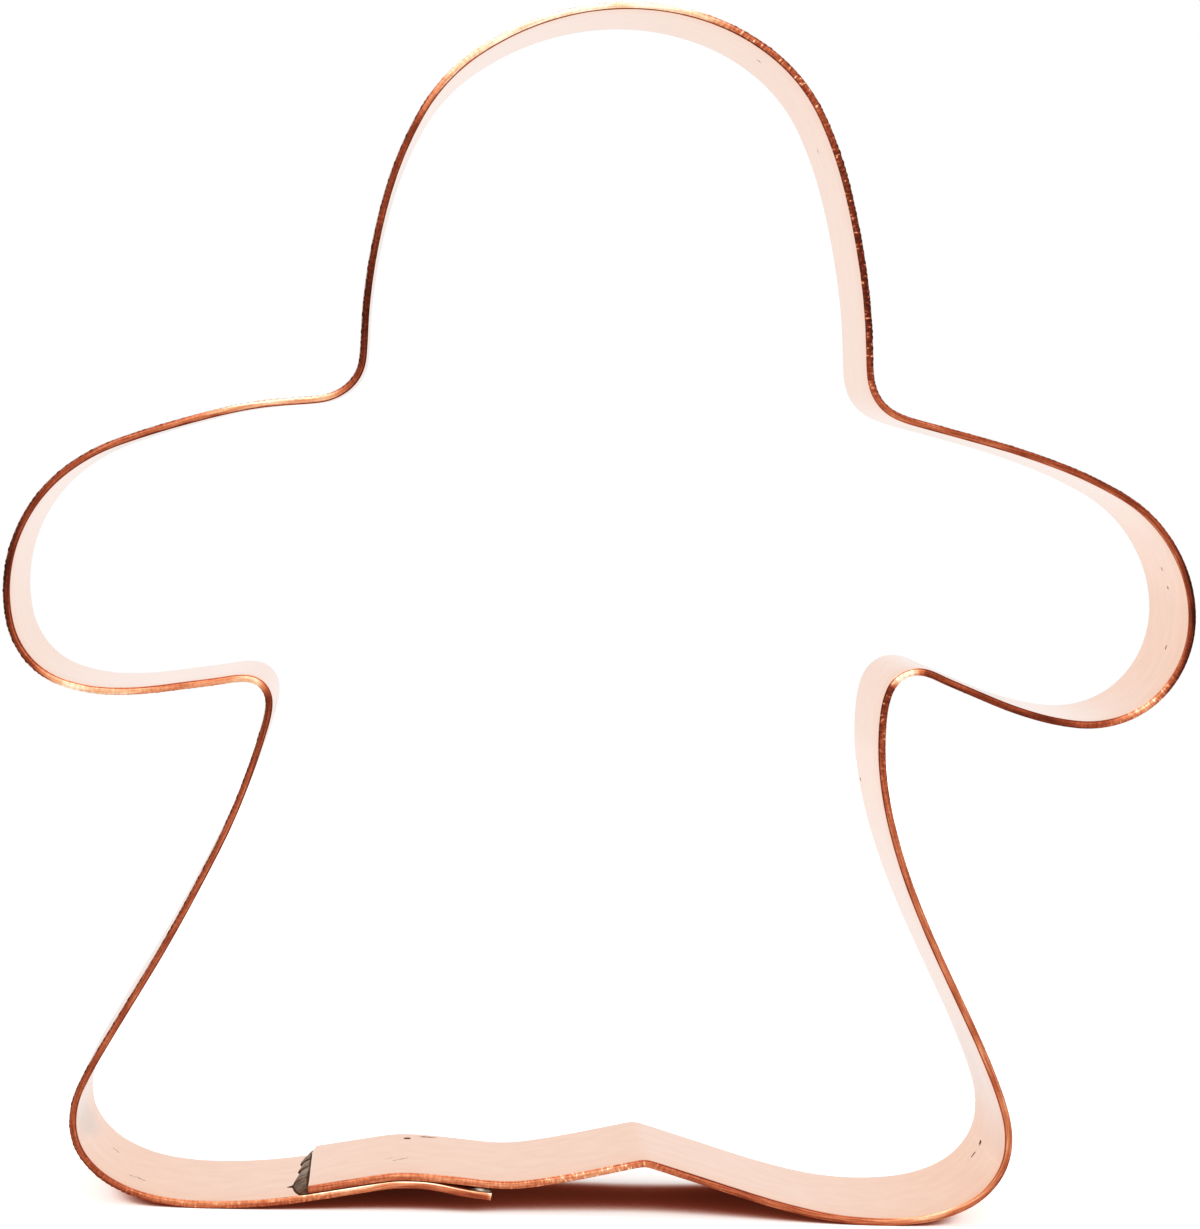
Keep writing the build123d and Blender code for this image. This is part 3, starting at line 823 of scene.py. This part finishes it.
def make_bead(name, line, start, reach, height, reach_shares, top_shares, fold_shares, burn_shares, tip,
              snipped):
    """A lumpy run of solder along the depth of the strip, on the inner side of the outer layer. It is
    upright where it starts, rounded to its toe, folded where lumps meet, and drawn out to one thin tip."""
    row_shares = np.concatenate([np.sin(np.linspace(0, math.pi / 2, bead_row_count)), [1.0, 0.0, 0.0]])
    row_count = len(row_shares) - 1
    deselect_all()
    bpy.ops.mesh.primitive_grid_add(x_subdivisions=bead_column_count, y_subdivisions=row_count, size=1.0)
    bead = bpy.context.object
    bead.name = name
    flat = np.zeros(len(bead.data.vertices) * 3)
    bead.data.vertices.foreach_get("co", flat)
    flat = flat.reshape(-1, 3)
    share = flat[:, 0] + 0.5
    row = np.rint((flat[:, 1] + 0.5) * row_count).astype(int)
    outward = row_shares[row]
    on_top = row < row_count - 2

    # How far it reaches, with its tip
    depth = near_rim + share * (far_rim - near_rim)
    tip_place, tip_width, tip_reach, tip_height = tip
    on_tip = np.exp(-((share - tip_place) / tip_width) ** 2)
    lump = reach * np.interp(share, *zip(*reach_shares))
    toe = lump + tip_reach * on_tip
    top = height * np.interp(share, *zip(*top_shares))

    # How high it is: round to its toe, pressed in at its folds, with the tip and the wrinkles on top
    in_depth = share - fold_slant_share * outward
    fold = sum(np.exp(-((in_depth - place) / fold_reach_share) ** 2) for place in fold_shares)
    fold = np.clip(fold, 0, 1)
    covered = np.clip(outward * toe / lump, 0, 1)
    rise = top * (1 - covered ** 1.8) ** 0.7 * (1 - fold_depth_share * fold * outward)
    rise += tip_height * on_tip * np.sin(math.pi * np.clip(outward, 0, 1))
    wrinkle = [noise.noise(Vector((o * r, d, height)) / bead_wrinkle_size)
               for o, r, d in zip(outward, toe, depth)]
    rise += bead_wrinkle * np.array(wrinkle) * np.sin(math.pi * np.clip(outward, 0, 1))
    rise = np.where(on_top, np.clip(rise, 0, None), -bead_sink)

    # It is laid on the outer layer, as far back at the far rim as the inner end is snipped
    snip = clip_length * np.clip((depth - (far_rim - clip_height)) / clip_height, 0, 1) * snipped
    along = start + outward * toe - snip * (1 - outward)
    place = place_on_strip(line, along, -half_sheet - rise)
    bead.data.vertices.foreach_set("co", np.stack([place[:, 0], depth, place[:, 1]], 1).ravel())

    # Painted shade and burnt flux at its toe, where it starts and in its folds, and burnt flux along its
    # depth
    at_toe = np.clip((covered - 0.86) / 0.14, 0, 1)
    at_start = np.clip((0.16 - outward) / 0.08, 0, 1)
    burnt = np.interp(share, *zip(*burn_shares))
    give_attribute(bead, "soot_and_shade", np.clip(at_toe + 0.8 * at_start + fold * (0.3 + outward) + burnt, 0, 1))
    close_up(bead)
    return bead


def solder_material(name, tones):
    """Soft solder, melted on and left to set: grey, wrinkled and half dull, with blotches about 1 mm across,
    painted darker in their hollows and lighter on their crests, brown and matt where flux burnt on it and
    where shade is painted in its folds, at its toe and where it starts."""
    material, tree = new_material(name)
    place = add_node(tree, "ShaderNodeTexCoord")
    blotch = add_node(tree, "ShaderNodeTexNoise",
                      {"Vector": place.outputs["Object"], "Scale": solder_blotches_per_m, "Detail": 5.0})
    colour = add_node(tree, "ShaderNodeValToRGB", {"Fac": blotch.outputs[0]})
    set_ramp(colour, tuple(zip(solder_tone_places, tones)))
    soot_and_shade = add_node(tree, "ShaderNodeAttribute", attribute_name="soot_and_shade")
    colour = add_node(tree, "ShaderNodeMix",
                      {"Factor": soot_and_shade.outputs["Fac"], 6: colour.outputs[0], 7: linear_colour(soot_and_shade_colour)},
                      data_type="RGBA")
    bump = add_node(tree, "ShaderNodeBump",
                    {"Height": blotch.outputs[0], "Strength": solder_relief_strength,
                     "Distance": solder_relief})
    bare = add_node(tree, "ShaderNodeMapRange",
                    {"Value": soot_and_shade.outputs["Fac"], "To Min": solder_metal_share, "To Max": 0.0})
    rough = add_node(tree, "ShaderNodeMapRange",
                     {"Value": soot_and_shade.outputs["Fac"], "To Min": solder_roughness, "To Max": soot_and_shade_roughness})
    surface = add_node(tree, "ShaderNodeBsdfPrincipled",
                       {"Base Color": colour.outputs[2], "Metallic": bare.outputs[0],
                        "Roughness": rough.outputs[0], "Specular IOR Level": 0.1,
                        "Normal": bump.outputs[0]})
    add_node(tree, "ShaderNodeOutputMaterial", {"Surface": surface.outputs[0]})
    return material


# Scene

make_camera()
make_world()
make_softbox()
make_floor()

line = strip_line()
strip, strip_girth = make_strip(line)
strip.data.materials.append(copper_material(line[0][-1], strip_girth))
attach(strip, "root")
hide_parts("cutter_band")

# The seam's run starts where the outer layer passes the inner end, and is as high as the step between them
distance, middle, _ = line
outer_layer = distance < distance[-1] / 10
apart = np.linalg.norm(middle[outer_layer] - middle[-1], axis=1)
layer_step = apart.min()
dull_solder = solder_material("soft_solder_cast_dull", dull_solder_colours)
# The tail's lumps get a copy of the solder painted brighter, as if lit in the gap's shade
painted_bright_solder = solder_material("soft_solder_cast_painted_bright", painted_bright_solder_colours)
seam = make_bead("seam_bead_run", line, distance[apart.argmin()], seam_reach, layer_step,
                 seam_reach_shares, seam_top_shares, seam_fold_shares, seam_burn_shares, seam_tip, 1)
tail = make_bead("tail_bead_lumps", line, tail_inset, tail_reach, tail_height,
                 tail_reach_shares, tail_top_shares, tail_fold_shares, tail_burn_shares, tail_tip, 0)
for bead, node_name, solder in ((seam, "seam_bead", dull_solder), (tail, "tail_bead", painted_bright_solder)):
    bead.data.materials.append(solder)
    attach(bead, "root")
    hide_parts(node_name)
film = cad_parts["lap_solder"]
film.data.materials.clear()
film.data.materials.append(dull_solder)

bpy.context.scene.view_settings.view_transform = "Standard"
